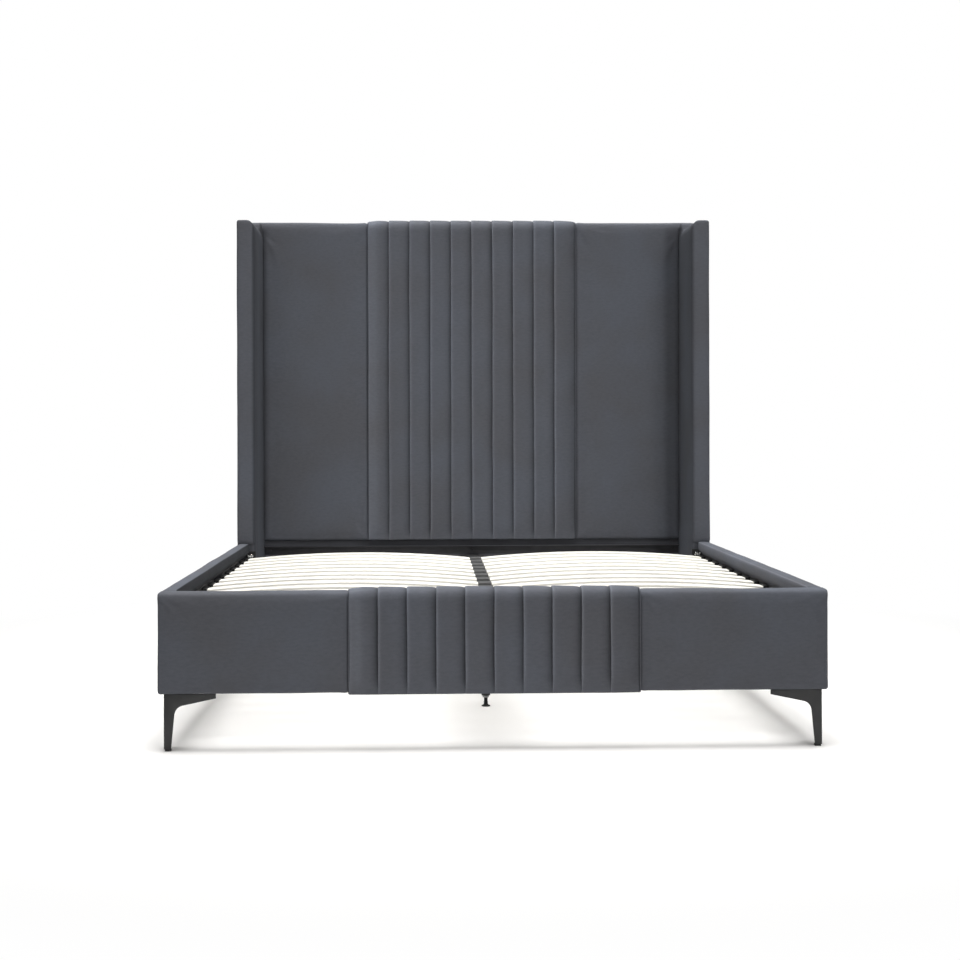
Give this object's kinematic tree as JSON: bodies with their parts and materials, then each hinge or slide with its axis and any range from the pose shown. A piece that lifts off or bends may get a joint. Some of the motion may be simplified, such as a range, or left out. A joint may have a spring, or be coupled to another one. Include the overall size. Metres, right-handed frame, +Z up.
{
  "type": "upholstered bed",
  "caption": "Upholstered wingback bed with a tall pleated headboard, padded rails, bowed sprung slats in two columns and blade legs.",
  "frame": {"origin": "on the floor, under the middle of the bed", "axes": "+Y points to the headboard, +Z up, +X to the right seen from the foot end"},
  "size_m": [1.64, 2.1503, 1.5436],
  "materials": {
    "velvet": "slate grey short-pile velvet over foam",
    "dark_cloth": "dark grey lining cloth",
    "timber": "raw pine and plywood",
    "black_timber": "board with a black backing",
    "black_steel": "black powder coat, satin",
    "bright_steel": "bright zinc plate",
    "zinc_steel": "dark zinc plate",
    "grey_plastic": "dark grey moulded plastic",
    "black_plastic": "black moulded plastic",
    "white_slat": "bent laminated wood, white foil"
  },
  "bodies": {
    "bed": {"beam_brackets": "black_steel", "bracket_bolts": "bright_steel", "centre_beam": "black_steel", "centre_leg_front": "black_steel", "centre_leg_rear": "black_steel", "foot_brackets": "black_steel", "footboard_board": "timber", "footboard_lining": "dark_cloth", "footboard_pad_left": "velvet", "footboard_pad_right": "velvet", "footboard_pleats": "velvet", "head_brackets": "black_steel", "head_rail": "black_steel", "head_rail_screws": "zinc_steel", "headboard_back_cover": "dark_cloth", "headboard_frame": "timber", "headboard_lower_board": "dark_cloth", "headboard_pad_left": "velvet", "headboard_pad_right": "velvet", "headboard_pleats": "velvet", "headboard_ply": "timber", "leg_front_left": "black_steel", "leg_front_right": "black_steel", "leg_glides": "black_plastic", "leg_rear_left": "black_steel", "leg_rear_right": "black_steel", "leg_screws": "zinc_steel", "lock_nuts": "zinc_steel", "post_cover_left": "velvet", "post_cover_right": "velvet", "side_rail_board_left": "black_timber", "side_rail_board_right": "black_timber", "side_rail_cover_left": "velvet", "side_rail_cover_right": "velvet", "slat_holders_centre": "grey_plastic", "slat_holders_left": "grey_plastic", "slat_holders_right": "grey_plastic", "slat_rail_left": "black_steel", "slat_rail_right": "black_steel", "slat_rail_screws": "zinc_steel", "slat_row_01": "white_slat", "slat_row_02": "white_slat", "slat_row_03": "white_slat", "slat_row_04": "white_slat", "slat_row_05": "white_slat", "slat_row_06": "white_slat", "slat_row_07": "white_slat", "slat_row_08": "white_slat", "slat_row_09": "white_slat", "slat_row_10": "white_slat", "slat_row_11": "white_slat", "slat_row_12": "white_slat", "wing_board_left": "timber", "wing_board_right": "timber", "wing_cover_left": "velvet", "wing_cover_right": "velvet"},
    "front_foot": {"centre_foot_front": "black_plastic"},
    "rear_foot": {"centre_foot_rear": "black_plastic"}
  },
  "joints": [
    {"name": "front_foot_height", "type": "slide", "parent": "bed", "child": "front_foot", "axis": [0, 0, 1], "range_m": [-0.015, 0.01]},
    {"name": "rear_foot_height", "type": "slide", "parent": "bed", "child": "rear_foot", "axis": [0, 0, 1], "range_m": [-0.015, 0.01]}
  ]
}
